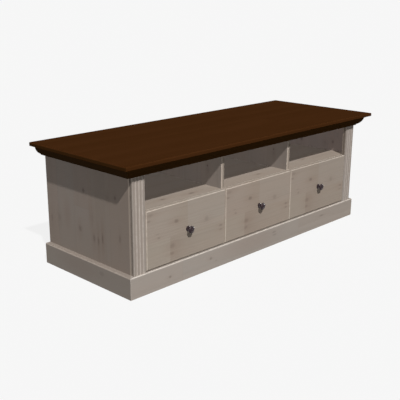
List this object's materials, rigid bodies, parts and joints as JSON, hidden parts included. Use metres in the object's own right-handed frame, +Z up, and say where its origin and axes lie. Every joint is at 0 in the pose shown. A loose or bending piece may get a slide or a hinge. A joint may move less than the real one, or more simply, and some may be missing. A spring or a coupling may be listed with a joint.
{
  "type": "tv stand",
  "caption": "Low pine tv stand: dark moulded top on a whitewashed carcass with fluted corner posts, open compartments above drawers on roller runners, and a plinth.",
  "frame": {"origin": "on the floor, below the middle of the top board's outline", "axes": "+X to the right along the length, +Y to the back, +Z up; the drawers open towards -Y"},
  "size_m": [1.554, 0.586, 0.518],
  "materials": {
    "dark_stained_pine": "dark brown stain under a satin lacquer",
    "whitewashed_pine": "grey-white wash over knotty pine, matt",
    "plain_pine": "planed pine, clear matt lacquer",
    "thin_board": "thin plywood, unpainted",
    "antique_iron": "dark burnished metal with a worn rim",
    "coated_steel": "off-white powder coat",
    "white_nylon": "moulded nylon",
    "zinc_steel": "zinc plated"
  },
  "bodies": {
    "carcass": {"top_board": "dark_stained_pine", "cornice_front": "dark_stained_pine", "cornice_left": "dark_stained_pine", "cornice_right": "dark_stained_pine", "side_panel_left": "whitewashed_pine", "side_panel_right": "whitewashed_pine", "corner_post_left": "whitewashed_pine", "corner_post_right": "whitewashed_pine", "sub_top": "whitewashed_pine", "top_rail": "whitewashed_pine", "shelf": "whitewashed_pine", "divider_left": "whitewashed_pine", "divider_right": "whitewashed_pine", "partition_left": "whitewashed_pine", "partition_right": "whitewashed_pine", "floor_panel": "whitewashed_pine", "plinth_front": "whitewashed_pine", "plinth_left": "whitewashed_pine", "plinth_right": "whitewashed_pine", "plinth_rear": "plain_pine", "bearer_left": "plain_pine", "bearer_right": "plain_pine", "runner_batten_left": "plain_pine", "runner_batten_right": "plain_pine", "back_panel": "thin_board", "left_cabinet_rails": "coated_steel", "centre_cabinet_rails": "coated_steel", "right_cabinet_rails": "coated_steel"},
    "left_drawer": {"left_drawer_front": "whitewashed_pine", "left_drawer_side_left": "plain_pine", "left_drawer_side_right": "plain_pine", "left_drawer_back": "plain_pine", "left_drawer_bottom": "thin_board", "left_knob": "antique_iron", "left_knob_screw": "zinc_steel", "left_drawer_rails": "coated_steel"},
    "left_fixed_rollers": {"left_fixed_rollers": "white_nylon"},
    "left_riding_rollers": {"left_riding_rollers": "white_nylon"},
    "centre_drawer": {"centre_drawer_front": "whitewashed_pine", "centre_drawer_side_left": "plain_pine", "centre_drawer_side_right": "plain_pine", "centre_drawer_back": "plain_pine", "centre_drawer_bottom": "thin_board", "centre_knob": "antique_iron", "centre_knob_screw": "zinc_steel", "centre_drawer_rails": "coated_steel"},
    "centre_fixed_rollers": {"centre_fixed_rollers": "white_nylon"},
    "centre_riding_rollers": {"centre_riding_rollers": "white_nylon"},
    "right_drawer": {"right_drawer_front": "whitewashed_pine", "right_drawer_side_left": "plain_pine", "right_drawer_side_right": "plain_pine", "right_drawer_back": "plain_pine", "right_drawer_bottom": "thin_board", "right_knob": "antique_iron", "right_knob_screw": "zinc_steel", "right_drawer_rails": "coated_steel"},
    "right_fixed_rollers": {"right_fixed_rollers": "white_nylon"},
    "right_riding_rollers": {"right_riding_rollers": "white_nylon"}
  },
  "joints": [
    {"name": "left_drawer_slide", "type": "slide", "parent": "carcass", "child": "left_drawer", "axis": [0, -1, 0], "range_m": [0, 0.34]},
    {"name": "left_fixed_roller_spin", "type": "hinge", "parent": "carcass", "child": "left_fixed_rollers", "pos_m": [-0.43133, -0.205, 0.1147], "axis": [1, 0, 0], "continuous": true},
    {"name": "left_riding_roller_spin", "type": "hinge", "parent": "left_drawer", "child": "left_riding_rollers", "pos_m": [-0.43133, 0.2, 0.1133], "axis": [1, 0, 0], "continuous": true},
    {"name": "centre_drawer_slide", "type": "slide", "parent": "carcass", "child": "centre_drawer", "axis": [0, -1, 0], "range_m": [0, 0.34]},
    {"name": "centre_fixed_roller_spin", "type": "hinge", "parent": "carcass", "child": "centre_fixed_rollers", "pos_m": [0, -0.205, 0.1147], "axis": [1, 0, 0], "continuous": true},
    {"name": "centre_riding_roller_spin", "type": "hinge", "parent": "centre_drawer", "child": "centre_riding_rollers", "pos_m": [0, 0.2, 0.1133], "axis": [1, 0, 0], "continuous": true},
    {"name": "right_drawer_slide", "type": "slide", "parent": "carcass", "child": "right_drawer", "axis": [0, -1, 0], "range_m": [0, 0.34]},
    {"name": "right_fixed_roller_spin", "type": "hinge", "parent": "carcass", "child": "right_fixed_rollers", "pos_m": [0.43133, -0.205, 0.1147], "axis": [1, 0, 0], "continuous": true},
    {"name": "right_riding_roller_spin", "type": "hinge", "parent": "right_drawer", "child": "right_riding_rollers", "pos_m": [0.43133, 0.2, 0.1133], "axis": [1, 0, 0], "continuous": true}
  ],
  "couplings": [
    {"joint": "left_fixed_roller_spin", "follows": "left_drawer_slide", "rad_per_m": 111.11},
    {"joint": "left_riding_roller_spin", "follows": "left_drawer_slide", "rad_per_m": 100},
    {"joint": "centre_fixed_roller_spin", "follows": "centre_drawer_slide", "rad_per_m": 111.11},
    {"joint": "centre_riding_roller_spin", "follows": "centre_drawer_slide", "rad_per_m": 100},
    {"joint": "right_fixed_roller_spin", "follows": "right_drawer_slide", "rad_per_m": 111.11},
    {"joint": "right_riding_roller_spin", "follows": "right_drawer_slide", "rad_per_m": 100}
  ]
}
